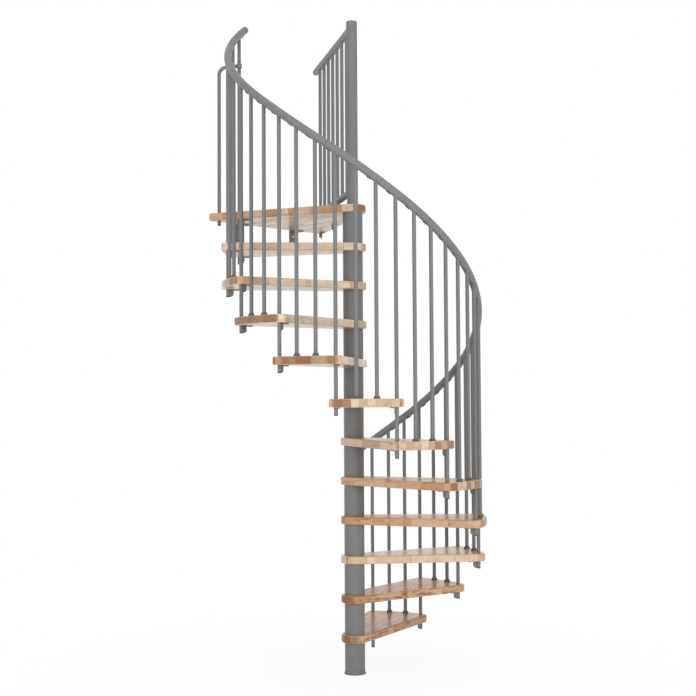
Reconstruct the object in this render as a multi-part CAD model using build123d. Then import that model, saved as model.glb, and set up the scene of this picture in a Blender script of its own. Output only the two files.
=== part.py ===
from build123d import *
import os
from math import cos, radians, sin

# A spiral stair on a centre column: eleven timber treads, a landing and a steel balustrade.
# Millimetres and degrees. +Z is up, the origin is on the floor at the column's axis, and
# +Y points from the column square to the landing's outer edge, which meets the upper floor.
# The stair climbs clockwise, seen from above, up to the landing.

# Flight
step_height = 210.0
tread_count = 11
step_angle = 25.45
infill_per_tread = 2
fit_clearance = 0.3

# Treads
tread_thickness = 42.0
tread_edge_round = 8.0
tread_corner_r = 35.0
hub_r = 72.0

# Column
core_r = 30.0
core_wall = 4.0
sleeve_r = 54.0
sleeve_wall = 4.0

# Base flange and its floor bolts
base_r = 58.0
base_thickness = 7.0
base_edge_round = 2.0
floor_bolt_circle_r = 40.0
floor_bolt_hole_r = 4.5
floor_bolt_count = 4

# Balusters, their feet and end plugs
baluster_circle_r = 675.0
baluster_r = 10.0
baluster_stub_length = 40.0
plug_height = 4.0
plug_edge_round = 2.0
foot_r = 17.0
foot_top_r = 12.5
foot_height = 14.0
foot_rim_height = 5.0

# Brackets that hold a baluster under a tread
bracket_thickness = 4.0
bracket_flange_length = 52.0
bracket_flange_width = 26.0
bracket_tab_width = 20.0
bracket_tab_height = 38.0
bracket_tab_round = 16.0

# Handrail: a helix in lengths with a thin washer at each joint and a domed plug at each end
handrail_r = 20.0
handrail_height = 1010.0
handrail_overrun_angle = 6.1
handrail_first_length_angle = 24.2
handrail_length_angle = 32.7
handrail_length_count = 9
handrail_seam_gap = 1.2
handrail_washer_r = 19.0
handrail_washer_thickness = 0.9
saddle_length = 26.0
saddle_width = 14.0
saddle_thickness = 2.0

# Landing, with its corner rods beyond the circle of the balusters
landing_half_angle = 28.4
landing_corner_offset = 125.0
landing_nosing_margin = 45.0
landing_side_margin = 28.0
landing_edge_margin = 33.0
landing_corner_round = 20.0
landing_stub_length = 25.0

# Landing post and railing
post_over_rail_height = 35.0
post_cap_height = 9.0
post_cap_round = 6.0
railing_top_height = 980.0
railing_bottom_height = 80.0
railing_r = 20.0
railing_overhang_length = 115.0
railing_first_r = 120.0
railing_baluster_count = 7
railing_anchor_index = 3

# Guard hoop between the top baluster and the landing's outer corner
hoop_drop_height = 175.0
hoop_bend_r = 40.0
clamp_r = 15.0
clamp_height = 24.0

# Brackets to the upper floor
slab_plate_thickness = 5.0
slab_plate_width = 60.0
slab_plate_height = 110.0
slab_flange_length = 80.0
slab_flange_depth = 40.0
slab_bracket_spacing = 400.0
slab_bracket_offset = -2.0
slab_bolt_hole_r = 5.5
slab_bolt_depth = 35.0
slab_bolt_spacing = 50.0

# Worked out from the sizes above
up_angle = 90.0
tread_outer_r = baluster_circle_r + tread_corner_r
landing_top = (tread_count + 1) * step_height
landing_under = landing_top - tread_thickness
climb_side_angle = up_angle + landing_half_angle
railing_side_angle = up_angle - landing_half_angle
landing_corner_r = baluster_circle_r + landing_corner_offset
landing_depth = landing_corner_r * cos(radians(landing_half_angle)) + landing_edge_margin
post_height = railing_top_height + post_over_rail_height
railing_length = landing_corner_r + railing_overhang_length
place_run = baluster_circle_r * radians(step_angle)
bore_r = core_r + fit_clearance
rod_hole_r = baluster_r + fit_clearance
bracket_reach = baluster_r + fit_clearance


def polar(radius, angle, height=0.0):
    """A point at a radius and angle about the column."""
    return Vector(radius * cos(radians(angle)), radius * sin(radians(angle)), height)


def round_bar(radius, low, high, centre=Vector(0, 0, 0)):
    """An upright round bar between two heights."""
    return Pos(centre.X, centre.Y, low) * extrude(Circle(radius), high - low)


def place_angle(place):
    """The angle of a place on the flight, counted in treads up from the first baluster."""
    return climb_side_angle + (tread_count - place) * step_angle


def handrail_z(place):
    """The height of the handrail's centre line over a place on the flight."""
    return (place + 1) * step_height + handrail_height


def handrail_point(place):
    return polar(baluster_circle_r, place_angle(place), handrail_z(place))


def handrail_seams():
    """The places where the lengths of handrail begin and end, from the foot of the flight."""
    overrun = handrail_overrun_angle / step_angle
    first = -overrun + handrail_first_length_angle / step_angle
    pitch = handrail_length_angle / step_angle
    middle = [first + pitch * index for index in range(handrail_length_count - 1)]
    return [-overrun] + middle + [tread_count + overrun]


def handrail_spans():
    """The lengths of handrail, as pairs of places."""
    seams = handrail_seams()
    return list(zip(seams[:-1], seams[1:]))


def handrail_path(low, high):
    """The centre line of one length: an arc through three points of the helix."""
    return ThreePointArc(
        handrail_point(low), handrail_point((low + high) / 2), handrail_point(high)
    )


def bent_bar(path, radius):
    """A round bar bent to an arc."""
    section = Plane(origin=path @ 0, z_dir=path % 0) * Circle(radius)
    return sweep(section, path=path)


def handrail_lengths():
    """The lengths of handrail, each short of its ends by half the open seam."""
    half_seam = handrail_seam_gap / 2 / place_run
    spans = handrail_spans()
    return [bent_bar(handrail_path(low + half_seam, high - half_seam), handrail_r) for low, high in spans]


def handrail_washers():
    """The washers at the joints, each square to the two lengths that meet there."""
    spans = handrail_spans()
    washers = []
    for below, above in zip(spans[:-1], spans[1:]):
        direction = handrail_path(*below) % 1 + handrail_path(*above) % 0
        joint = Plane(origin=handrail_point(above[0]), z_dir=direction)
        washers.append(joint * extrude(Circle(handrail_washer_r), handrail_washer_thickness / 2, both=True))
    return washers


def handrail_room(low, high):
    """The room that one length needs over the balusters, run on along its arc past both ends."""
    path = handrail_path(low, high)
    run_on = (baluster_r + handrail_r) / path.length
    longer = ThreePointArc(path @ -run_on, path @ 0.5, path @ (1 + run_on))
    return bent_bar(longer, handrail_r + fit_clearance)


def handrail_cutters():
    """The room that the handrail needs over the tops of the balusters, length by length."""
    return [(low, high, handrail_room(low, high)) for low, high in handrail_spans()]


def dome(centre, direction, radius):
    """A half ball that closes the end of a rail."""
    ball = Sphere(radius)
    half = split(ball, bisect_by=Plane.XY, keep=Keep.TOP)
    return Plane(origin=centre, z_dir=direction) * half


def handrail_domes():
    lengths = handrail_lengths()
    first, last = lengths[0], lengths[-1]
    low_face = first.faces().filter_by(GeomType.PLANE).sort_by(Axis.Z)[0]
    high_face = last.faces().filter_by(GeomType.PLANE).sort_by(Axis.Z)[-1]
    ends = (low_face, high_face)
    return [dome(face.center(), face.normal_at(), handrail_r) for face in ends]


def base_flange():
    disc = extrude(Circle(base_r), base_thickness)
    disc = fillet(disc.edges().group_by(Axis.Z)[-1], base_edge_round)
    for hole in PolarLocations(floor_bolt_circle_r, floor_bolt_count):
        disc = disc - hole * extrude(Circle(floor_bolt_hole_r), base_thickness)
    return disc


def core_tube():
    tube = extrude(Circle(core_r) - Circle(core_r - core_wall), landing_top - base_thickness)
    return Pos(0, 0, base_thickness) * tube


def column_sleeve(low, high):
    """A spacer tube that carries one tread on the one below."""
    return Pos(0, 0, low) * extrude(Circle(sleeve_r) - Circle(sleeve_r - sleeve_wall), high - low)


def column_sleeves():
    lows = [base_thickness] + [step_height * level for level in range(1, tread_count + 1)]
    highs = [step_height * level - tread_thickness for level in range(1, tread_count + 2)]
    return [column_sleeve(low, high) for low, high in zip(lows, highs)]


def tread_outline():
    """A wedge round the column: a round hub, straight sides and an arc at the outer edge."""
    half_step = step_angle / 2
    corners = [polar(baluster_circle_r, side * half_step) for side in (-1, 1)]
    rounds = [Pos(corner.X, corner.Y) * Circle(tread_corner_r) for corner in corners]
    edges = Circle(hub_r).edges() + rounds[0].edges() + rounds[1].edges()
    rim = CenterArc((0, 0), tread_outer_r, -half_step, step_angle)
    sector = make_face([rim, Line((0, 0), rim @ 0), Line(rim @ 1, (0, 0))])
    return make_hull(edges) + sector


def rounded_board(outline, holes):
    """A board of tread thickness with eased top and bottom edges and holes through it."""
    board = extrude(outline, tread_thickness)
    rims = [face.outer_wire().edges() for face in board.faces().filter_by(Axis.Z)]
    board = fillet([edge for rim in rims for edge in rim], tread_edge_round)
    return board - extrude(holes, tread_thickness)


def tread():
    half_step = step_angle / 2
    holes = Sketch() + Circle(bore_r)
    for side in (-1, 1):
        corner = polar(baluster_circle_r, side * half_step)
        holes += Pos(corner.X, corner.Y) * Circle(rod_hole_r)
    return rounded_board(tread_outline(), holes)


def placed_tread(board, level):
    """A tread at its level, between its nosing baluster and its back baluster."""
    under = level * step_height - tread_thickness
    return Pos(0, 0, under) * Rot(0, 0, place_angle(level - 0.5)) * board


def landing_corner(angle, margin, side):
    """The centre of the round at an outer corner of the landing, beyond its line of rods."""
    offset = (margin - landing_corner_round) * side
    depth = landing_depth - landing_corner_round
    along = (depth - offset * cos(radians(angle))) / sin(radians(angle))
    return polar(along, angle) + polar(offset, angle + up_angle)


def railing_radii():
    """The places of the railing's balusters along the railing, from the column outwards."""
    pitch = (landing_corner_r - railing_first_r) / (railing_baluster_count - 1)
    return [railing_first_r + pitch * index for index in range(railing_baluster_count)]


def railing_anchor_radii():
    """The railing's balusters that pass through the landing and are held under it."""
    radii = railing_radii()
    return [radii[railing_anchor_index], radii[-1]]


def landing_held_rods():
    """The rods that a bracket holds under the landing: nosing baluster and railing anchors."""
    anchors = [polar(radius, railing_side_angle) for radius in railing_anchor_radii()]
    return [polar(baluster_circle_r, climb_side_angle)] + anchors


def landing_rod_places():
    """The rods that pass through the landing: the held ones and the hoop."""
    return landing_held_rods() + [polar(landing_corner_r, climb_side_angle)]


def landing_board():
    corners = [
        landing_corner(climb_side_angle, landing_nosing_margin, 1),
        landing_corner(railing_side_angle, landing_side_margin, -1),
    ]
    rounds = [Pos(corner.X, corner.Y) * Circle(landing_corner_round) for corner in corners]
    edges = Circle(hub_r).edges() + rounds[0].edges() + rounds[1].edges()
    holes = Sketch() + Circle(bore_r)
    for place in landing_rod_places():
        holes += Pos(place.X, place.Y) * Circle(rod_hole_r)
    return Pos(0, 0, landing_under) * rounded_board(make_hull(edges), holes)


def cut_baluster(place, low, cutters):
    """A baluster from its foot to the handrail, with its top shaped to the rail's underside.

    What the cuts leave above the rail's underside, where two lengths meet, is waste.
    """
    bar = round_bar(baluster_r, low, handrail_z(place), polar(baluster_circle_r, place_angle(place)))
    reach = (baluster_r + handrail_r) / place_run
    for start, end, cutter in cutters:
        if start - reach <= place <= end + reach:
            bar = bar - cutter
    return bar.solids().sort_by(Axis.Z)[0]


def stub_end(place):
    """The height of the lower end of a main baluster, over its plug."""
    if place == 0:
        return plug_height
    return place * step_height - tread_thickness - baluster_stub_length + plug_height


def main_balusters(cutters):
    return [cut_baluster(place, stub_end(place), cutters) for place in range(tread_count + 1)]


def infill_places():
    spaces = infill_per_tread + 1
    return [
        level - 1 + share / spaces
        for level in range(1, tread_count + 1)
        for share in range(1, spaces)
    ]


def infill_balusters(cutters):
    return [cut_baluster(place, (int(place) + 1) * step_height, cutters) for place in infill_places()]


def baluster_foot():
    """A collar with an upright rim and a tapered top that covers a baluster's foot."""
    profile = Polyline(
        (rod_hole_r, 0),
        (foot_r, 0),
        (foot_r, foot_rim_height),
        (foot_top_r, foot_height),
        (rod_hole_r, foot_height),
        close=True,
    )
    return revolve(Plane.XZ * make_face(profile), Axis.Z)


def baluster_feet():
    foot = baluster_foot()
    places = infill_places()
    spots = [polar(baluster_circle_r, place_angle(place), (int(place) + 1) * step_height) for place in places]
    return [Pos(spot.X, spot.Y, spot.Z) * foot for spot in spots]


def end_plug():
    """A plug that closes the lower end of a rod, with an eased lower edge."""
    plug = extrude(Circle(baluster_r), plug_height)
    return fillet(plug.edges().group_by(Axis.Z)[0], plug_edge_round)


def end_plugs():
    plug = end_plug()
    spots = []
    for place in range(tread_count + 1):
        spots.append(polar(baluster_circle_r, place_angle(place), stub_end(place)))
    stub = landing_under - landing_stub_length + plug_height
    spots.append(polar(landing_corner_r, climb_side_angle, stub))
    for radius in railing_anchor_radii():
        spots.append(polar(radius, railing_side_angle, stub))
    return [Pos(spot.X, spot.Y, spot.Z - plug_height) * plug for spot in spots]


def rod_bracket():
    """A flange under the board and a rounded tab beside the rod, on the column's side."""
    outline = Polyline(
        (-bracket_reach, 0),
        (-bracket_reach, -bracket_tab_height),
        (-bracket_reach - bracket_tab_width, -bracket_tab_height),
        (-bracket_reach - bracket_tab_width, 0),
        close=True,
    )
    face = make_face(outline)
    lower = face.vertices().sort_by(Axis.Y)[0:2].sort_by(Axis.X)[0]
    tab = extrude(Plane.XZ * fillet(lower, bracket_tab_round), bracket_thickness / 2, both=True)
    flange = extrude(Rectangle(bracket_flange_length, bracket_flange_width), -bracket_thickness)
    return tab + Pos(-bracket_reach - bracket_flange_length / 2, 0) * flange


def rod_brackets():
    bracket = rod_bracket()
    placed = []
    for level in range(1, tread_count + 1):
        under = level * step_height - tread_thickness
        for place in (level - 1, level):
            spot = polar(baluster_circle_r, place_angle(place), under)
            placed.append(Pos(spot.X, spot.Y, spot.Z) * Rot(0, 0, place_angle(place)) * bracket)
    for spot in landing_held_rods():
        turn = Rot(0, 0, Vector(1, 0, 0).get_signed_angle(spot, Vector(0, 0, 1)))
        placed.append(Pos(spot.X, spot.Y, landing_under) * turn * bracket)
    return placed


def rail_saddle(place):
    """A short strap under the handrail, on the uphill side of a baluster's top."""
    middle = place + (baluster_r + saddle_length / 2) / place_run
    low, high = [span for span in handrail_spans() if span[0] <= middle][-1]
    path = handrail_path(low, high)
    share = (middle - low) / (high - low)
    slope = path % share
    sideways = slope.cross(Vector(0, 0, 1)).normalized()
    down = slope.cross(sideways)
    centre = path @ share + down * (handrail_r + fit_clearance + saddle_thickness / 2)
    return Plane(origin=centre, x_dir=slope, z_dir=down) * Box(
        saddle_length, saddle_width, saddle_thickness
    )


def rail_saddles():
    places = list(range(tread_count + 1)) + infill_places()
    return [rail_saddle(place) for place in places]


def landing_post():
    tube = extrude(Circle(core_r) - Circle(core_r - core_wall), post_height - post_cap_height)
    return Pos(0, 0, landing_top) * tube


def landing_post_cap():
    cap = extrude(Circle(core_r), post_cap_height)
    cap = fillet(cap.edges().group_by(Axis.Z)[-1], post_cap_round)
    return Pos(0, 0, landing_top + post_height - post_cap_height) * cap


def railing_bar(height, reach):
    """A level rail from the landing post outwards, coped to the post."""
    start = Plane(origin=(0, 0, height), z_dir=polar(1, railing_side_angle))
    bar = start * extrude(Circle(railing_r), reach)
    post = round_bar(core_r + fit_clearance, height - core_r, height + core_r)
    return bar - post


def railing_top():
    return railing_bar(landing_top + railing_top_height, railing_length)


def railing_bottom():
    """The lower rail, cut where the anchor balusters pass through it."""
    height = landing_top + railing_bottom_height
    rail = railing_bar(height, landing_corner_r + railing_r)
    for radius in railing_anchor_radii():
        spot = polar(radius, railing_side_angle)
        rail = rail - round_bar(rod_hole_r, height - 2 * railing_r, height + 2 * railing_r, spot)
    return rail


def railing_balusters():
    """The railing's balusters, shaped to the top rail and, where they stand on it, to the lower one."""
    top = landing_top + railing_top_height
    bottom = landing_top + railing_bottom_height
    room = railing_r + fit_clearance
    upper = Plane(origin=(0, 0, top), z_dir=polar(1, railing_side_angle)) * extrude(
        Circle(room), railing_length
    )
    lower = Plane(origin=(0, 0, bottom), z_dir=polar(1, railing_side_angle)) * extrude(
        Circle(room), railing_length
    )
    anchors = railing_anchor_radii()
    bars = []
    for radius in railing_radii():
        spot = polar(radius, railing_side_angle)
        if radius in anchors:
            low = landing_under - landing_stub_length + plug_height
            bars.append(round_bar(baluster_r, low, top, spot) - upper)
        else:
            bars.append(round_bar(baluster_r, bottom, top, spot) - upper - lower)
    return bars


def railing_dome():
    end = polar(railing_length, railing_side_angle, landing_top + railing_top_height)
    return dome(end, polar(1, railing_side_angle), railing_r)


def hoop_z():
    """The height of the hoop's level run, under the handrail at the top baluster."""
    return handrail_z(tread_count) - hoop_drop_height


def guard_hoop():
    """A rod from under the landing's outer corner, up and over to the top baluster."""
    height = hoop_z()
    low = polar(landing_corner_r, climb_side_angle, landing_under - landing_stub_length + plug_height)
    corner = polar(landing_corner_r, climb_side_angle, height)
    end = polar(baluster_circle_r + clamp_r, climb_side_angle, height)
    path = FilletPolyline(low, corner, end, radius=hoop_bend_r)
    rod = sweep(Plane(origin=low, z_dir=Vector(0, 0, 1)) * Circle(baluster_r), path=path)
    spot = polar(baluster_circle_r, climb_side_angle)
    room = round_bar(clamp_r + fit_clearance, height - clamp_height, height + clamp_height, spot)
    return rod - room


def hoop_clamp():
    """A collar on the top baluster that holds the end of the hoop."""
    ring = extrude(Circle(clamp_r) - Circle(rod_hole_r), clamp_height)
    spot = polar(baluster_circle_r, climb_side_angle)
    return Pos(spot.X, spot.Y, hoop_z() - clamp_height / 2) * ring


def slab_bracket(centre_x):
    """A plate against the upper floor's edge, folded to a flange under the landing."""
    flange = Pos(centre_x, landing_depth - slab_flange_depth / 2) * Rectangle(
        slab_flange_length, slab_flange_depth
    )
    plate_x = centre_x - (slab_flange_length - slab_plate_width) / 2
    back = Pos(plate_x, landing_depth - slab_plate_thickness / 2) * Rectangle(
        slab_plate_width, slab_plate_thickness
    )
    angle = extrude(flange, -slab_plate_thickness) + extrude(back, -slab_plate_height)
    bolt = extrude(Plane.XZ * Circle(slab_bolt_hole_r), slab_plate_thickness, both=True)
    for drop in (slab_bolt_depth, slab_bolt_depth + slab_bolt_spacing):
        angle = angle - Pos(plate_x, landing_depth, -drop) * bolt
    return Pos(0, 0, landing_under) * angle


def slab_brackets():
    reach = slab_bracket_spacing / 2
    return [slab_bracket(slab_bracket_offset + side * reach) for side in (-1, 1)]


def export(node, solids):
    """Write one node, of one solid or of like solids that stand apart."""
    export_step(solids[0] if len(solids) == 1 else Compound(children=solids), f"parts/{node}.step")


def solid_list(shapes):
    """The plain solids of a list of shapes."""
    return [solid for shape in shapes for solid in shape.solids()]


def main():
    os.makedirs("parts", exist_ok=True)
    cutters = handrail_cutters()
    board = tread()
    groups = {
        "base_flange": [base_flange()],
        "core_tube": [core_tube()],
        "column_sleeves": column_sleeves(),
        "landing": [landing_board()],
        "main_balusters": main_balusters(cutters),
        "infill_balusters": infill_balusters(cutters),
        "baluster_feet": baluster_feet(),
        "baluster_end_plugs": end_plugs(),
        "baluster_brackets": rod_brackets(),
        "handrail_end_domes": handrail_domes(),
        "handrail_washers": handrail_washers(),
        "handrail_saddles": rail_saddles(),
        "landing_post": [landing_post()],
        "landing_post_cap": [landing_post_cap()],
        "railing_top_rail": [railing_top()],
        "railing_bottom_rail": [railing_bottom()],
        "railing_balusters": railing_balusters(),
        "railing_end_dome": [railing_dome()],
        "guard_hoop": [guard_hoop()],
        "hoop_clamp": [hoop_clamp()],
        "slab_brackets": slab_brackets(),
    }
    for level in range(1, tread_count + 1):
        groups[f"tread_{level:02d}"] = [placed_tread(board, level)]
    for index, length in enumerate(handrail_lengths(), 1):
        groups[f"handrail_{index}"] = [length]
    for node, shapes in groups.items():
        export(node, solid_list(shapes))


main()
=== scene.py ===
from math import atan2, cos, radians, sin

import bpy
from mathutils import Matrix, Vector


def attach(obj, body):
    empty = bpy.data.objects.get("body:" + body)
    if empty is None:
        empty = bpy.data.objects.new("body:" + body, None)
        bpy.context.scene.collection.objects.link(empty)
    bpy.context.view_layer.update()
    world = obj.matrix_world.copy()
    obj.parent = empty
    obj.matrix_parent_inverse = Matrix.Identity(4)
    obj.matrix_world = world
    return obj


bl_info = {
    "name": "Spiral Stair",
    "version": (1, 0, 0),
    "blender": (4, 5, 0),
    "location": "View3D > Sidebar > Stair",
    "description": "Dresses a timber and steel spiral stair and sets its studio",
    "category": "Object",
}

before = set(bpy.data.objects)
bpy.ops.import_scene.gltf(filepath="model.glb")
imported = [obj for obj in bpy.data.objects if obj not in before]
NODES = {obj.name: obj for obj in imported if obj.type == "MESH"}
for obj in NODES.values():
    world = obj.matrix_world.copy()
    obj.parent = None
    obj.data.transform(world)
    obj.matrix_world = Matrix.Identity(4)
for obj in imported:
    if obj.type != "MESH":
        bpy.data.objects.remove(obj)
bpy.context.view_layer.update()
HANDRAILS = sorted(name for name in NODES if name.startswith("handrail_") and name[-1].isdigit())

# Each board's seed, how much darker it is than a common one, and how much darker its end grain is
BOARDS = {
    "tread_01": (640.9, 0.45, 0.60),
    "tread_02": (644.6, 0.42, 0.50),
    "tread_03": (11.1, -0.25, 0.10),
    "tread_04": (492.7, 0.20, 0.30),
    "tread_05": (284.0, 0.30, 0.15),
    "tread_06": (712.5, 0.05, 0.0),
    "tread_07": (610.0, -0.10, -0.05),
    "tread_08": (29.6, 0.08, 0.40),
    "tread_09": (723.6, -0.15, 0.85),
    "tread_10": (196.3, -0.20, 0.10),
    "tread_11": (412.4, -0.15, 0.10),
    "landing": (628.5, 0.15, 0.0),
}

# Each lamp's bearing from the camera in degrees, its height, distance and size in metres, and its watts
LAMPS = {
    "key": (42.0, 2.0, 6.0, 2.0, 140.0),
    "left": (-55.0, 3.0, 5.5, 2.0, 65.0),
    "fill": (-12.0, 2.4, 6.6, 5.0, 165.0),
    "top": (10.0, 9.0, 2.5, 5.0, 200.0),
    "back_right": (155.0, 2.6, 6.5, 4.0, 160.0),
    "back_left": (-155.0, 2.6, 6.5, 4.0, 160.0),
}
LAMP_AIM = Vector((0.0, 0.0, 1.7))


class StairTimber(bpy.types.PropertyGroup):
    """Glued beech staves under a clear lacquer."""

    pale: bpy.props.FloatVectorProperty(
        name="Pale stave",
        description="Colour of the palest staves",
        subtype="COLOR",
        size=3,
        default=(0.718, 0.603, 0.458),
    )
    rosy: bpy.props.FloatVectorProperty(
        name="Rosy stave",
        description="Colour of the common, slightly pink staves",
        subtype="COLOR",
        size=3,
        default=(0.577, 0.400, 0.255),
    )
    amber: bpy.props.FloatVectorProperty(
        name="Amber stave",
        description="Colour of the few darker staves, and of the bands and rings in all of them",
        subtype="COLOR",
        size=3,
        default=(0.432, 0.220, 0.102),
    )
    end_grain: bpy.props.FloatVectorProperty(
        name="End grain",
        description="Dark brown that end grain, flecks, streaks and glue seams are drawn towards",
        subtype="COLOR",
        size=3,
        default=(0.19, 0.062, 0.020),
    )
    stave_width: bpy.props.FloatProperty(
        name="Stave width",
        description="Width of one glued stave",
        unit="LENGTH",
        default=0.040,
    )
    stave_length: bpy.props.FloatProperty(
        name="Stave length",
        description="Length between two finger joints",
        unit="LENGTH",
        default=0.30,
    )
    finger_pitch: bpy.props.FloatProperty(
        name="Finger pitch",
        description="Width of one finger of a joint",
        unit="LENGTH",
        default=0.0077,
    )
    finger_depth: bpy.props.FloatProperty(
        name="Finger depth",
        description="Length of the fingers of a joint",
        unit="LENGTH",
        default=0.005,
    )
    lacquer_roughness: bpy.props.FloatProperty(
        name="Lacquer roughness",
        description="Roughness of the lacquered timber",
        default=0.30,
        min=0.0,
        max=1.0,
    )


class StairSteel(bpy.types.PropertyGroup):
    """Powder coat, smooth rail coat, moulded plastic and plated screws."""

    coat: bpy.props.FloatVectorProperty(
        name="Powder coat",
        description="Mid grey of the steel",
        subtype="COLOR",
        size=3,
        default=(0.172, 0.172, 0.172),
    )
    rail: bpy.props.FloatVectorProperty(
        name="Rail coat",
        description="Slightly lighter grey of the rails",
        subtype="COLOR",
        size=3,
        default=(0.180, 0.180, 0.180),
    )
    plastic: bpy.props.FloatVectorProperty(
        name="Collar plastic",
        description="Dark grey of the collars round the balusters' feet",
        subtype="COLOR",
        size=3,
        default=(0.085, 0.085, 0.086),
    )
    black: bpy.props.FloatVectorProperty(
        name="Black plastic",
        description="Black of the end plugs and the handrail's washers",
        subtype="COLOR",
        size=3,
        default=(0.010, 0.010, 0.010),
    )
    zinc: bpy.props.FloatVectorProperty(
        name="Zinc",
        description="Colour of the plated screws",
        subtype="COLOR",
        size=3,
        default=(0.42, 0.41, 0.39),
    )
    peel_size: bpy.props.FloatProperty(
        name="Peel size",
        description="Size of the coat's fine ripples",
        unit="LENGTH",
        default=0.0016,
    )


class StairFixings(bpy.types.PropertyGroup):
    """Screws that hold the brackets."""

    head_radius: bpy.props.FloatProperty(
        name="Head radius",
        description="Radius of a screw's head",
        unit="LENGTH",
        default=0.0042,
    )
    head_height: bpy.props.FloatProperty(
        name="Head height",
        description="Height of a screw's head",
        unit="LENGTH",
        default=0.0024,
    )
    bracket_plate: bpy.props.FloatProperty(
        name="Bracket plate",
        description="Thickness of the brackets' flanges",
        unit="LENGTH",
        default=0.004,
    )
    spread: bpy.props.FloatProperty(
        name="Spread",
        description="Half the distance between a bracket's two screws",
        unit="LENGTH",
        default=0.0075,
    )
    inset: bpy.props.FloatProperty(
        name="Inset",
        description="Distance of the screws from the flange's middle, towards the column",
        unit="LENGTH",
        default=0.015,
    )


class StairStudio(bpy.types.PropertyGroup):
    """Camera, floor and the light from all round."""

    view_distance: bpy.props.FloatProperty(
        name="View distance",
        description="Distance of the camera from the column's axis",
        unit="LENGTH",
        default=6.443,
    )
    view_height: bpy.props.FloatProperty(
        name="View height",
        description="Height of the camera over the floor",
        unit="LENGTH",
        default=1.4764,
    )
    view_bearing: bpy.props.FloatProperty(
        name="View bearing",
        description="Turn of the camera's place about the column, from straight in front",
        subtype="ANGLE",
        default=radians(-42.50),
    )
    view_swing: bpy.props.FloatProperty(
        name="View swing",
        description="Turn of the camera to the left of the column's axis",
        subtype="ANGLE",
        default=radians(0.258),
    )
    view_tilt: bpy.props.FloatProperty(
        name="View tilt",
        description="Upward tilt of the camera",
        subtype="ANGLE",
        default=radians(2.382),
    )
    view_roll: bpy.props.FloatProperty(
        name="View roll",
        description="Roll of the camera",
        subtype="ANGLE",
        default=radians(-0.312),
    )
    lens: bpy.props.FloatProperty(
        name="Lens",
        description="Focal length in millimetres on a 36 mm sensor",
        default=61.55,
    )
    floor_colour: bpy.props.FloatVectorProperty(
        name="Floor",
        description="Colour of the floor",
        subtype="COLOR",
        size=3,
        default=(0.90, 0.90, 0.90),
    )
    sky_light: bpy.props.FloatProperty(
        name="Sky light",
        description="Level of the plain light from all round",
        default=0.30,
        min=0.0,
    )


def settings():
    """The stair's settings in the open scene."""
    return bpy.context.scene.spiral_stair


# Building blocks for node trees


def place(tree, kind, values=None, **options):
    """Adds a node, sets its options, and sets or links its inputs."""
    made = tree.nodes.new(kind)
    for key, value in options.items():
        setattr(made, key, value)
    for key, value in (values or {}).items():
        socket = made.inputs[key]
        if isinstance(value, bpy.types.NodeSocket):
            tree.links.new(value, socket)
        else:
            socket.default_value = value
    return made


def calc(tree, operation, *values):
    """One step of arithmetic on numbers."""
    return place(tree, "ShaderNodeMath", dict(enumerate(values)), operation=operation).outputs[0]


def vector_calc(tree, operation, *values):
    """One step of arithmetic on vectors, which gives a vector or a number."""
    return place(tree, "ShaderNodeVectorMath", dict(enumerate(values)), operation=operation).outputs


def stretched(tree, vector, scale):
    """A vector with a scale of its own along each axis."""
    return vector_calc(tree, "MULTIPLY", vector, scale)["Vector"]


def split(tree, vector):
    """A vector's X, Y and Z."""
    return place(tree, "ShaderNodeSeparateXYZ", {0: vector}).outputs


def joined(tree, **axes):
    """A vector from its X, Y and Z."""
    return place(tree, "ShaderNodeCombineXYZ", axes).outputs[0]


def between(tree, value, low, high, to_low=0.0, to_high=1.0):
    """A smooth step of a value from one range to another."""
    made = place(
        tree,
        "ShaderNodeMapRange",
        {"Value": value, "From Min": low, "From Max": high, "To Min": to_low, "To Max": to_high},
        interpolation_type="SMOOTHSTEP",
    )
    return made.outputs["Result"]


def off_middle(tree, count):
    """How far a place is from the middle of its row or block, up to a half."""
    return calc(tree, "ABSOLUTE", calc(tree, "SUBTRACT", calc(tree, "FRACT", count), 0.5))


def opaque(colour):
    """A plain colour with full alpha; a linked one stays as it is."""
    return colour if isinstance(colour, bpy.types.NodeSocket) else (*colour[:3], 1.0)


def blend(tree, share, first, second):
    """A mix of two colours, with a share of the second."""
    # The sockets for colours have the same names as those for numbers and vectors, and come after them
    colour_a = 6
    colour_b = 7
    colour_out = 2
    values = {0: share, colour_a: opaque(first), colour_b: opaque(second)}
    return place(tree, "ShaderNodeMix", values, data_type="RGBA").outputs[colour_out]


def drawn(tree, key):
    """Random numbers that are the same wherever the key is the same."""
    return place(tree, "ShaderNodeTexWhiteNoise", {"Vector": key}, noise_dimensions="3D").outputs


def noise(tree, vector, scale, detail, roughness=0.5):
    """A soft, cloudy value from 0 to 1."""
    made = place(
        tree,
        "ShaderNodeTexNoise",
        {"Vector": vector, "Scale": scale, "Detail": detail, "Roughness": roughness},
    )
    return made.outputs["Fac"]


def cells(tree, vector, scale):
    """The distance to the middle of the nearest of many scattered cells."""
    return place(tree, "ShaderNodeTexVoronoi", {"Vector": vector, "Scale": scale}).outputs["Distance"]


def seen_directly(tree):
    """1 where the camera, a reflection or a view through glass looks, and 0 for light that spreads."""
    path = tree.nodes.new("ShaderNodeLightPath").outputs
    seen = calc(tree, "MAXIMUM", path["Is Camera Ray"], path["Is Glossy Ray"])
    return calc(tree, "MAXIMUM", seen, path["Is Transmission Ray"])


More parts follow.
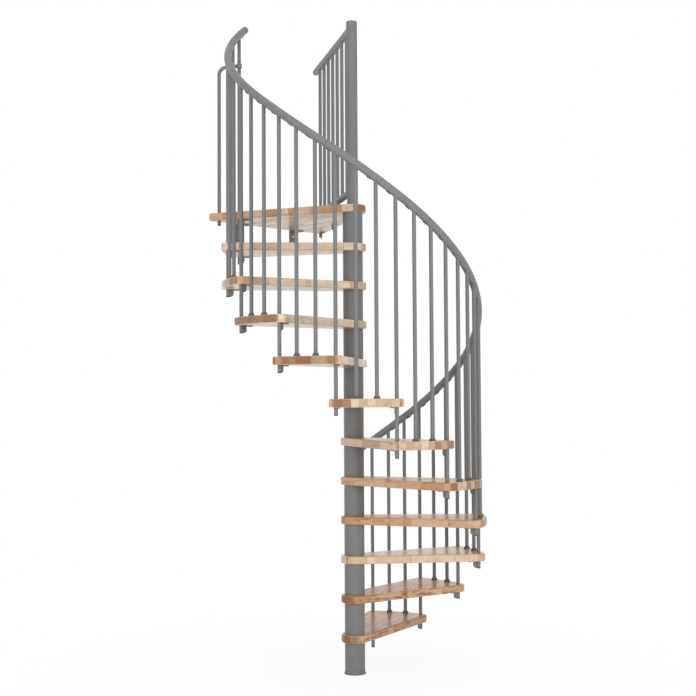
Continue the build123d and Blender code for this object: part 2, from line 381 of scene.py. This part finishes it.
def new_group(name, inputs, outputs):
    """An empty shader group with the named sockets, and its two end nodes."""
    tree = bpy.data.node_groups.new(name, "ShaderNodeTree")
    for title, kind, default in inputs:
        socket = tree.interface.new_socket(name=title, in_out="INPUT", socket_type=kind)
        if default is not None:
            socket.default_value = default
    for title, kind in outputs:
        tree.interface.new_socket(name=title, in_out="OUTPUT", socket_type=kind)
    return tree, tree.nodes.new("NodeGroupInput").outputs, tree.nodes.new("NodeGroupOutput").inputs


def use_group(tree, effect, **values):
    """Places a shared effect, which is built the first time, and gives its outputs."""
    name, build = effect
    group = bpy.data.node_groups.get(name) or build(name)
    sockets = {key.replace("_", " ").capitalize(): value for key, value in values.items()}
    return place(tree, "ShaderNodeGroup", sockets, node_tree=group).outputs


# Shared effects


def stave_group(name):
    """Boards glued from staves with finger joints: a tone and a warmth for each block, and its seams."""
    # The most that a row slips along, in stave lengths, and the grain from block to block, in metres
    row_slip = 7.3
    grain_slip = (3.0, 3.0, 3.0)
    # Where the seams start, from the middle of a stave or block, whose edge is at a half
    side_seam = 0.484
    end_seam = 0.497
    edge = 0.5
    timber = settings().timber
    tree, given, out = new_group(
        name,
        [
            ("Vector", "NodeSocketVector", None),
            ("Seed", "NodeSocketFloat", 0.0),
            ("Stave width", "NodeSocketFloat", timber.stave_width),
            ("Stave length", "NodeSocketFloat", timber.stave_length),
            ("Finger pitch", "NodeSocketFloat", timber.finger_pitch),
            ("Finger depth", "NodeSocketFloat", timber.finger_depth),
        ],
        [
            ("Tone", "NodeSocketFloat"),
            ("Warmth", "NodeSocketFloat"),
            ("Seam", "NodeSocketFloat"),
            ("Shift", "NodeSocketVector"),
        ],
    )
    axes = split(tree, given["Vector"])
    across = calc(tree, "DIVIDE", axes["Y"], given["Stave width"])
    row = calc(tree, "FLOOR", across)
    slip = drawn(tree, joined(tree, X=row, Y=given["Seed"]))["Value"]
    half_finger = calc(tree, "MULTIPLY", given["Finger pitch"], 0.5)
    finger = calc(tree, "DIVIDE", calc(tree, "PINGPONG", axes["Y"], half_finger), half_finger)
    along = calc(tree, "MULTIPLY_ADD", finger, given["Finger depth"], axes["X"])
    along = calc(tree, "DIVIDE", along, given["Stave length"])
    along = calc(tree, "MULTIPLY_ADD", slip, row_slip, along)
    block = drawn(tree, joined(tree, X=row, Y=calc(tree, "FLOOR", along), Z=given["Seed"]))
    shades = place(tree, "ShaderNodeSeparateColor", {0: block["Color"]}).outputs
    side = between(tree, off_middle(tree, across), low=side_seam, high=edge)
    end = between(tree, off_middle(tree, along), low=end_seam, high=edge)
    tree.links.new(shades[0], out["Tone"])
    tree.links.new(shades[1], out["Warmth"])
    tree.links.new(calc(tree, "MAXIMUM", side, end), out["Seam"])
    tree.links.new(stretched(tree, block["Color"], grain_slip), out["Shift"])
    return tree


def grain_group(name):
    """Beech grain along X: growth rings about a heart of its own in each block, pores and short flecks."""
    # Repeats in a metre, along the grain and across it
    band_repeats = (2.2, 60.0, 60.0)
    pore_repeats = (14.0, 700.0, 700.0)
    fleck_repeats = (170.0, 900.0, 900.0)
    streak_repeats = (6.0, 48.0, 48.0)
    # A ring each 3.3 mm, in radians to the metre, and how far the rings waver, in metres
    ring_turn = 1900.0
    ring_waver = 0.012
    # The part of a block's shift that its heart lies off by
    heart_share = 0.05
    band_share = 0.65
    pore_share = 0.35
    fleck_depth = 0.6
    tree, given, out = new_group(
        name,
        [("Vector", "NodeSocketVector", None), ("Shift", "NodeSocketVector", None)],
        [
            ("Bands", "NodeSocketFloat"),
            ("Rings", "NodeSocketFloat"),
            ("Flecks", "NodeSocketFloat"),
            ("Streaks", "NodeSocketFloat"),
            ("Height", "NodeSocketFloat"),
        ],
    )
    moved = vector_calc(tree, "ADD", given["Vector"], given["Shift"])["Vector"]
    bands = noise(tree, stretched(tree, moved, band_repeats), scale=1.0, detail=4.0, roughness=0.62)
    pores = noise(tree, stretched(tree, moved, pore_repeats), scale=1.0, detail=2.0)
    streaks = noise(tree, stretched(tree, moved, streak_repeats), scale=1.0, detail=4.0, roughness=0.7)
    heart = split(tree, given["Shift"])
    axes = split(tree, given["Vector"])
    across = calc(tree, "MULTIPLY_ADD", heart["Y"], heart_share, axes["Y"])
    up = calc(tree, "MULTIPLY_ADD", heart["Z"], heart_share, axes["Z"])
    radius = vector_calc(tree, "LENGTH", joined(tree, X=across, Y=calc(tree, "FRACT", up)))["Value"]
    wander = calc(tree, "MULTIPLY_ADD", bands, ring_waver, radius)
    rings = calc(tree, "SINE", calc(tree, "MULTIPLY", wander, ring_turn))
    fleck_cells = cells(tree, stretched(tree, moved, fleck_repeats), scale=1.0)
    flecks = calc(tree, "SUBTRACT", 1.0, between(tree, fleck_cells, low=0.10, high=0.26))
    figure = calc(tree, "MULTIPLY_ADD", pores, pore_share, calc(tree, "MULTIPLY", bands, band_share))
    height = calc(tree, "SUBTRACT", pores, calc(tree, "MULTIPLY", flecks, fleck_depth))
    tree.links.new(figure, out["Bands"])
    tree.links.new(between(tree, rings, low=-0.2, high=1.0), out["Rings"])
    tree.links.new(flecks, out["Flecks"])
    tree.links.new(streaks, out["Streaks"])
    tree.links.new(height, out["Height"])
    return tree


def smudge_group(name):
    """Faint handling marks and dust that vary the gloss and tone of a finish."""
    fineness = 9.0
    tree, given, out = new_group(
        name,
        [("Vector", "NodeSocketVector", None), ("Size", "NodeSocketFloat", 0.2)],
        [("Marks", "NodeSocketFloat"), ("Cloud", "NodeSocketFloat")],
    )
    scale = calc(tree, "DIVIDE", 1.0, given["Size"])
    cloud = noise(tree, given["Vector"], scale, detail=4.0)
    marks = noise(tree, given["Vector"], calc(tree, "MULTIPLY", scale, fineness), detail=6.0)
    marks = between(tree, marks, low=0.45, high=0.75)
    tree.links.new(calc(tree, "MULTIPLY", marks, cloud), out["Marks"])
    tree.links.new(cloud, out["Cloud"])
    return tree


def peel_group(name):
    """The fine ripple and speckle of a powder coat."""
    cell_scale = 0.7
    cell_share = 0.5
    tree, given, out = new_group(
        name,
        [("Vector", "NodeSocketVector", None), ("Size", "NodeSocketFloat", settings().steel.peel_size)],
        [("Height", "NodeSocketFloat"), ("Speckle", "NodeSocketFloat")],
    )
    scale = calc(tree, "DIVIDE", 1.0, given["Size"])
    ripple = noise(tree, given["Vector"], scale, detail=2.0)
    pits = cells(tree, given["Vector"], calc(tree, "MULTIPLY", scale, cell_scale))
    tree.links.new(calc(tree, "MULTIPLY_ADD", pits, cell_share, ripple), out["Height"])
    tree.links.new(between(tree, ripple, low=0.3, high=0.7), out["Speckle"])
    return tree


STAVES = ("Finger-jointed staves", stave_group)
GRAIN = ("Beech grain", grain_group)
SMUDGES = ("Handling marks", smudge_group)
PEEL = ("Powder coat peel", peel_group)


# Finishes


def new_finish(name):
    """A material with an empty tree, its shader and its Object coordinates."""
    finish = bpy.data.materials.new(name)
    finish.use_nodes = True
    tree = finish.node_tree
    tree.nodes.clear()
    shader = tree.nodes.new("ShaderNodeBsdfPrincipled")
    output = tree.nodes.new("ShaderNodeOutputMaterial")
    tree.links.new(shader.outputs[0], output.inputs["Surface"])
    coords = tree.nodes.new("ShaderNodeTexCoord").outputs["Object"]
    return finish, tree, shader, coords


def bump(tree, shader, height, strength, distance):
    """Raises a finish by a height, whose full size is a distance in metres."""
    values = {"Height": height, "Strength": strength, "Distance": distance}
    made = place(tree, "ShaderNodeBump", values)
    tree.links.new(made.outputs["Normal"], shader.inputs["Normal"])


def end_faces(tree, angle):
    """1 on the faces that cut across the staves of a board at this angle, and 0 along them."""
    normal = tree.nodes.new("ShaderNodeNewGeometry").outputs["True Normal"]
    facing = vector_calc(tree, "DOT_PRODUCT", normal, (cos(angle), sin(angle), 0.0))["Value"]
    return between(tree, calc(tree, "ABSOLUTE", facing), low=0.6, high=0.9)


def block_colour(tree, staves, grain, shade):
    """The colour of each block of a stave, with its bands and rings."""
    ring_share = 0.2
    timber = settings().timber
    rosy = between(tree, staves["Tone"], low=0.2 - shade, high=0.75 - shade)
    warm = between(tree, staves["Warmth"], low=0.55 - shade, high=0.95 - shade, to_high=0.9)
    bands = between(tree, grain["Bands"], low=0.40, high=0.66, to_high=0.5 + 0.5 * shade)
    rings = calc(tree, "MULTIPLY", grain["Rings"], ring_share)
    colour = blend(tree, rosy, timber.pale, timber.rosy)
    for share in (warm, bands, rings):
        colour = blend(tree, share, colour, timber.amber)
    return colour


def dark_figure(tree, staves, grain, end, shade):
    """The share of dark flecks, and of streaks in the warm blocks, on the faces along the grain."""
    fleck_share = 0.25
    figure_share = 0.8
    ease = 0.2 * shade
    streaks = between(tree, grain["Streaks"], low=0.60 - ease, high=0.70 - ease)
    warm = between(tree, staves["Warmth"], low=0.4 - shade, high=0.55 - shade)
    heart = calc(tree, "MULTIPLY", streaks, warm)
    dark = calc(tree, "MAXIMUM", calc(tree, "MULTIPLY", grain["Flecks"], fleck_share), heart)
    long_faces = calc(tree, "SUBTRACT", 1.0, end)
    return calc(tree, "MULTIPLY", dark, calc(tree, "MULTIPLY", long_faces, figure_share))


def beech_finish(name, angle, seed, shade, soak):
    """Lacquered beech staves along a board that points at an angle from the column.

    The shade makes the whole board darker, and the soak its end grain.
    """
    seam_share = 0.45
    mark_dulling = 0.22
    fleck_dulling = 0.05
    timber = settings().timber
    finish, tree, shader, coords = new_finish(name)
    turn = {"Vector": coords, "Rotation": (0.0, 0.0, -angle)}
    turned = place(tree, "ShaderNodeMapping", turn).outputs[0]
    staves = use_group(
        tree,
        STAVES,
        vector=turned,
        seed=seed,
        stave_width=timber.stave_width,
        stave_length=timber.stave_length,
        finger_pitch=timber.finger_pitch,
        finger_depth=timber.finger_depth,
    )
    grain = use_group(tree, GRAIN, vector=turned, shift=staves["Shift"])
    marks = use_group(tree, SMUDGES, vector=coords, size=0.22)
    end = end_faces(tree, angle)
    soaked = between(
        tree, staves["Warmth"], low=0.1 - soak, high=0.95 - soak, to_low=0.08, to_high=0.75
    )
    soaked = calc(tree, "MULTIPLY", end, soaked)
    dark = dark_figure(tree, staves, grain, end, shade)
    seams = calc(tree, "MULTIPLY", staves["Seam"], seam_share)
    colour = block_colour(tree, staves, grain, shade)
    for share in (soaked, dark, seams):
        colour = blend(tree, share, colour, timber.end_grain)
    tree.links.new(colour, shader.inputs["Base Color"])
    rough = calc(tree, "MULTIPLY_ADD", marks["Marks"], mark_dulling, timber.lacquer_roughness)
    rough = calc(tree, "MULTIPLY_ADD", grain["Flecks"], fleck_dulling, rough)
    tree.links.new(rough, shader.inputs["Roughness"])
    shader.inputs["Specular IOR Level"].default_value = 0.2
    shader.inputs["Coat Weight"].default_value = 0.3
    shader.inputs["Coat Roughness"].default_value = 0.14
    height = calc(tree, "SUBTRACT", grain["Height"], staves["Seam"])
    bump(tree, shader, height, strength=0.22, distance=0.0004)
    return finish


def coat_finish(name, colour, roughness, peel_strength):
    """A grey coat with a fine peel, faint speckle and handling marks."""
    dark_speck = 0.86
    light_speck = 1.12
    mark_dulling = 0.18
    finish, tree, shader, coords = new_finish(name)
    peel = use_group(tree, PEEL, vector=coords, size=settings().steel.peel_size)
    marks = use_group(tree, SMUDGES, vector=coords, size=0.35)
    darker = [channel * dark_speck for channel in colour]
    lighter = [min(1.0, channel * light_speck) for channel in colour]
    tone = blend(tree, peel["Speckle"], darker, lighter)
    even = between(tree, marks["Cloud"], low=0.35, high=0.65, to_high=0.5)
    tree.links.new(blend(tree, even, tone, colour), shader.inputs["Base Color"])
    rough = calc(tree, "MULTIPLY_ADD", marks["Marks"], mark_dulling, roughness)
    tree.links.new(rough, shader.inputs["Roughness"])
    shader.inputs["Specular IOR Level"].default_value = 0.32
    bump(tree, shader, peel["Height"], strength=peel_strength, distance=0.00012)
    return finish


def plastic_finish(name, colour, roughness):
    """Moulded plastic with a fine spark-eroded texture."""
    cloud_gain = 1.25
    cloud_lift = 0.004
    mark_dulling = 0.15
    finish, tree, shader, coords = new_finish(name)
    peel = use_group(tree, PEEL, vector=coords, size=0.0009)
    marks = use_group(tree, SMUDGES, vector=coords, size=0.08)
    lighter = [min(1.0, channel * cloud_gain + cloud_lift) for channel in colour]
    tree.links.new(blend(tree, marks["Cloud"], colour, lighter), shader.inputs["Base Color"])
    rough = calc(tree, "MULTIPLY_ADD", marks["Marks"], mark_dulling, roughness)
    tree.links.new(rough, shader.inputs["Roughness"])
    shader.inputs["Specular IOR Level"].default_value = 0.25
    bump(tree, shader, peel["Height"], strength=0.25, distance=0.0001)
    return finish


def zinc_finish():
    """Zinc plate with soft cloudy tarnish."""
    tarnish = 0.7
    bright_roughness = 0.25
    cloud_dulling = 0.25
    finish, tree, shader, coords = new_finish("Zinc plate")
    marks = use_group(tree, SMUDGES, vector=coords, size=0.006)
    zinc = settings().steel.zinc
    dull = [channel * tarnish for channel in zinc]
    tree.links.new(blend(tree, marks["Cloud"], zinc, dull), shader.inputs["Base Color"])
    rough = calc(tree, "MULTIPLY_ADD", marks["Cloud"], cloud_dulling, bright_roughness)
    tree.links.new(rough, shader.inputs["Roughness"])
    shader.inputs["Metallic"].default_value = 1.0
    return finish


def dress(names, finish):
    """Gives CAD nodes a finish."""
    for name in names:
        slots = NODES[name].material_slots
        if not slots:
            raise RuntimeError(f"{name} has no material slot")
        for slot in slots:
            slot.material = finish


# Places and shapes


def board_angle(name):
    """The angle that a tread points at, from its outermost points; the landing points along +Y."""
    rim_share = 0.985
    if name == "landing":
        return radians(90.0)
    points = [vertex.co.xy for vertex in NODES[name].data.vertices]
    reach = max(point.length for point in points)
    outer = [point for point in points if point.length > rim_share * reach]
    middle = sum((point.normalized() for point in outer), Vector((0.0, 0.0)))
    return atan2(middle.y, middle.x)


def around(turn, distance, height):
    """A place at a distance from the column, turned about it from straight in front."""
    return Vector((sin(turn) * distance, -cos(turn) * distance, height))


def deselect():
    """Leaves nothing selected."""
    bpy.ops.object.select_all(action="DESELECT")


def islands(name):
    """The vertices of each separate solid of a CAD node."""
    decimals = 5
    mesh = NODES[name].data
    parent = {}

    def root(key):
        while parent[key] != key:
            parent[key] = parent[parent[key]]
            key = parent[key]
        return key

    keys = [tuple(round(value, decimals) for value in vertex.co) for vertex in mesh.vertices]
    for key in keys:
        parent.setdefault(key, key)
    for polygon in mesh.polygons:
        first = root(keys[polygon.vertices[0]])
        for index in polygon.vertices[1:]:
            parent[root(keys[index])] = first
    found = {}
    for key in parent:
        found.setdefault(root(key), []).append(Vector(key))
    return list(found.values())


def copies(source, places, name):
    """Copies of a modelled piece at the given places, joined in one mesh at the origin."""
    made = []
    for matrix in places:
        copy = source.copy()
        copy.data = source.data.copy()
        copy.data.transform(matrix)
        bpy.context.scene.collection.objects.link(copy)
        made.append(copy)
    bpy.data.objects.remove(source)
    deselect()
    for copy in made:
        copy.select_set(True)
    bpy.context.view_layer.objects.active = made[0]
    bpy.ops.object.join()
    piece = bpy.context.view_layer.objects.active
    piece.name = name
    piece.data.name = name
    deselect()
    return piece


# Steps that dress the stair


class STAIR_OT_timber(bpy.types.Operator):
    """Give the treads and the landing their staves, each along its own board"""

    bl_idname = "stair.timber"
    bl_label = "Timber boards"

    def execute(self, context):
        for name, (seed, shade, soak) in BOARDS.items():
            dress([name], beech_finish(f"Beech {name}", board_angle(name), seed, shade, soak))
        return {"FINISHED"}


class STAIR_OT_column(bpy.types.Operator):
    """Powder-coat the column, the post, the balusters, the hoop and the brackets"""

    bl_idname = "stair.column"
    bl_label = "Column and balusters"

    def execute(self, context):
        coat = coat_finish(
            "Grey powder coat", settings().steel.coat, roughness=0.44, peel_strength=0.35
        )
        dress(
            [
                "base_flange",
                "core_tube",
                "column_sleeves",
                "main_balusters",
                "infill_balusters",
                "baluster_brackets",
                "landing_post",
                "railing_balusters",
                "railing_bottom_rail",
                "guard_hoop",
                "slab_brackets",
            ],
            coat,
        )
        return {"FINISHED"}


class STAIR_OT_rails(bpy.types.Operator):
    """Coat the handrail, the railing's top rail and their domed ends"""

    bl_idname = "stair.rails"
    bl_label = "Rails"

    def execute(self, context):
        coat = coat_finish(
            "Grey rail coat", settings().steel.rail, roughness=0.42, peel_strength=0.12
        )
        dress([*HANDRAILS, "handrail_end_domes", "railing_top_rail", "railing_end_dome"], coat)
        return {"FINISHED"}


class STAIR_OT_fittings(bpy.types.Operator):
    """Finish the collars, the cap, the clamp, the plugs, the washers and the straps"""

    bl_idname = "stair.fittings"
    bl_label = "Fittings"

    def execute(self, context):
        # The straps' coat is the steel grey made darker, as painted shade
        strap_painted_shade = 0.8
        steel = settings().steel
        collar = plastic_finish("Grey collar plastic", steel.plastic, roughness=0.45)
        cap = plastic_finish("Grey cap plastic", steel.coat, roughness=0.45)
        black = plastic_finish("Black plastic", steel.black, roughness=0.6)
        strap_colour_with_painted_shade = [strap_painted_shade * channel for channel in steel.coat]
        strap = coat_finish("Strap coat with painted shade", strap_colour_with_painted_shade, roughness=0.5, peel_strength=0.2)
        dress(["baluster_feet"], collar)
        dress(["landing_post_cap", "hoop_clamp"], cap)
        dress(["baluster_end_plugs", "handrail_washers"], black)
        dress(["handrail_saddles"], strap)
        return {"FINISHED"}


class STAIR_OT_screws(bpy.types.Operator):
    """Model the screws that hold the brackets under the boards"""

    bl_idname = "stair.screws"
    bl_label = "Bracket screws"

    def execute(self, context):
        flatness = 0.0001
        fixings = settings().fixings
        screw = self.screw(fixings)
        places = []
        for solid in islands("baluster_brackets"):
            top = max(point.z for point in solid)
            flange = [point for point in solid if point.z > top - flatness]
            middle = sum(flange, Vector()) / len(flange)
            inward = Vector((-middle.x, -middle.y, 0.0)).normalized()
            sideways = Vector((-inward.y, inward.x, 0.0))
            seat = middle + inward * fixings.inset
            seat.z = top - fixings.bracket_plate
            for side in (-1, 1):
                places.append(Matrix.Translation(seat + sideways * side * fixings.spread))
        piece = copies(screw, places, "bracket_screws")
        piece.data.materials.clear()
        piece.data.materials.append(zinc_finish())
        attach(piece, "root")
        return {"FINISHED"}

    def screw(self, fixings):
        """A round-edged head that hangs under its seat, with a round recess."""
        low = -0.9 * fixings.head_height
        rounding = 0.45 * fixings.head_height
        rim = 0.18 * fixings.head_radius
        recess = 0.55 * fixings.head_height
        facing_down = -0.99
        deselect()
        bpy.ops.mesh.primitive_cylinder_add(
            vertices=18,
            radius=fixings.head_radius,
            depth=fixings.head_height,
            location=(0.0, 0.0, -fixings.head_height / 2),
        )
        head = bpy.context.view_layer.objects.active
        bpy.ops.object.transform_apply(location=True, rotation=True, scale=True)
        bpy.ops.object.mode_set(mode="EDIT")
        bpy.ops.mesh.select_all(action="DESELECT")
        bpy.ops.object.mode_set(mode="OBJECT")
        for edge in head.data.edges:
            ends = [head.data.vertices[index].co.z for index in edge.vertices]
            edge.select = max(ends) < low
        bpy.ops.object.mode_set(mode="EDIT")
        bpy.ops.mesh.select_mode(type="EDGE")
        bpy.ops.mesh.bevel(offset=rounding, segments=3, affect="EDGES")
        bpy.ops.mesh.select_mode(type="FACE")
        bpy.ops.mesh.select_all(action="DESELECT")
        bpy.ops.object.mode_set(mode="OBJECT")
        for face in head.data.polygons:
            face.select = face.normal.z < facing_down and face.center.z < low
        bpy.ops.object.mode_set(mode="EDIT")
        bpy.ops.mesh.inset(thickness=rim)
        bpy.ops.mesh.extrude_region_move(TRANSFORM_OT_translate={"value": (0.0, 0.0, recess)})
        bpy.ops.object.mode_set(mode="OBJECT")
        bpy.ops.object.shade_smooth_by_angle(angle=radians(35))
        return head


class STAIR_OT_studio(bpy.types.Operator):
    """Set the floor, the lamps, the world and the camera"""

    bl_idname = "stair.studio"
    bl_label = "Studio"

    def execute(self, context):
        studio = settings().studio
        self.floor(studio)
        self.world(context, studio)
        self.lamps(context, studio)
        self.camera(context, studio)
        context.scene.view_settings.view_transform = "Standard"
        return {"FINISHED"}

    def floor(self, studio):
        """A pale floor that shows white to the camera and keeps a soft shadow near the column."""
        breadth = 60.0
        drop = 0.0005
        shadow_near = 0.3
        shadow_far = 2.2
        white_near = 0.91
        deselect()
        bpy.ops.mesh.primitive_plane_add(size=breadth, location=(0.0, 0.0, -drop))
        floor = bpy.context.view_layer.objects.active
        floor.name = "studio_floor"
        finish = bpy.data.materials.new("Studio floor")
        finish.use_nodes = True
        tree = finish.node_tree
        tree.nodes.clear()
        paint = place(tree, "ShaderNodeBsdfDiffuse", {"Color": opaque(studio.floor_colour)})
        white = place(tree, "ShaderNodeEmission", {"Color": (1.0, 1.0, 1.0, 1.0), "Strength": 1.0})
        coords = tree.nodes.new("ShaderNodeTexCoord").outputs["Object"]
        spread = vector_calc(tree, "LENGTH", coords)["Value"]
        plain = between(tree, spread, low=shadow_near, high=shadow_far, to_low=white_near)
        share = calc(tree, "MULTIPLY", seen_directly(tree), plain)
        shaders = {0: share, 1: paint.outputs[0], 2: white.outputs[0]}
        mixed = place(tree, "ShaderNodeMixShader", shaders)
        output = tree.nodes.new("ShaderNodeOutputMaterial")
        tree.links.new(mixed.outputs[0], output.inputs["Surface"])
        floor.data.materials.append(finish)

    def world(self, context, studio):
        """White where the camera or a reflection sees it, and a plain soft light elsewhere."""
        world = bpy.data.worlds.new("Studio world")
        context.scene.world = world
        world.use_nodes = True
        tree = world.node_tree
        tree.nodes.clear()
        level = between(tree, seen_directly(tree), low=0.0, high=1.0, to_low=studio.sky_light)
        sky = place(tree, "ShaderNodeBackground", {"Color": (1.0, 1.0, 1.0, 1.0), "Strength": level})
        output = tree.nodes.new("ShaderNodeOutputWorld")
        tree.links.new(sky.outputs[0], output.inputs["Surface"])

    def lamps(self, context, studio):
        """Soft lamps all round the stair, brightest from the camera's side, which no reflection shows."""
        for name, (bearing, height, distance, size, power) in LAMPS.items():
            lamp = bpy.data.lights.new(f"studio_{name}", "AREA")
            lamp.energy = power
            lamp.size = size
            stand = bpy.data.objects.new(f"studio_{name}", lamp)
            stand.location = around(studio.view_bearing + radians(bearing), distance, height)
            stand.rotation_euler = (LAMP_AIM - stand.location).to_track_quat("-Z", "Y").to_euler()
            stand.visible_glossy = False
            context.scene.collection.objects.link(stand)

    def camera(self, context, studio):
        """A camera at the photograph's viewing angle."""
        lens = bpy.data.cameras.new("studio_camera")
        lens.sensor_width = 36.0
        lens.lens = studio.lens
        lens.clip_end = 100.0
        camera = bpy.data.objects.new("studio_camera", lens)
        turn = studio.view_bearing
        spot = around(turn, studio.view_distance, studio.view_height)
        aim = (
            Matrix.Rotation(turn + studio.view_swing, 4, "Z")
            @ Matrix.Rotation(radians(90.0) + studio.view_tilt, 4, "X")
            @ Matrix.Rotation(studio.view_roll, 4, "Z")
        )
        camera.matrix_world = Matrix.Translation(spot) @ aim
        context.scene.collection.objects.link(camera)
        context.scene.camera = camera


class SpiralStair(bpy.types.PropertyGroup):
    """All the settings of the stair."""

    timber: bpy.props.PointerProperty(type=StairTimber, name="Timber", description="Boards")
    steel: bpy.props.PointerProperty(type=StairSteel, name="Steel", description="Coats and plastics")
    fixings: bpy.props.PointerProperty(type=StairFixings, name="Fixings", description="Screws")
    studio: bpy.props.PointerProperty(type=StairStudio, name="Studio", description="Camera and light")


OPERATORS = (
    STAIR_OT_timber,
    STAIR_OT_column,
    STAIR_OT_rails,
    STAIR_OT_fittings,
    STAIR_OT_screws,
    STAIR_OT_studio,
)


class STAIR_PT_panel(bpy.types.Panel):
    """Lists the steps that dress the stair"""

    bl_idname = "STAIR_PT_panel"
    bl_label = "Spiral Stair"
    bl_space_type = "VIEW_3D"
    bl_region_type = "UI"
    bl_category = "Stair"

    def draw(self, context):
        for operator in OPERATORS:
            self.layout.operator(operator.bl_idname)


CLASSES = (StairTimber, StairSteel, StairFixings, StairStudio, SpiralStair, *OPERATORS, STAIR_PT_panel)


def register():
    """Adds the settings, the steps and the panel."""
    for item in CLASSES:
        bpy.utils.register_class(item)
    bpy.types.Scene.spiral_stair = bpy.props.PointerProperty(type=SpiralStair)


def unregister():
    """Takes them away again."""
    del bpy.types.Scene.spiral_stair
    for item in reversed(CLASSES):
        bpy.utils.unregister_class(item)


def main():
    """Dresses the stair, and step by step."""
    register()
    bpy.ops.stair.timber()
    bpy.ops.stair.column()
    bpy.ops.stair.rails()
    bpy.ops.stair.fittings()
    bpy.ops.stair.screws()
    bpy.ops.stair.studio()


if __name__ == "__main__":
    main()
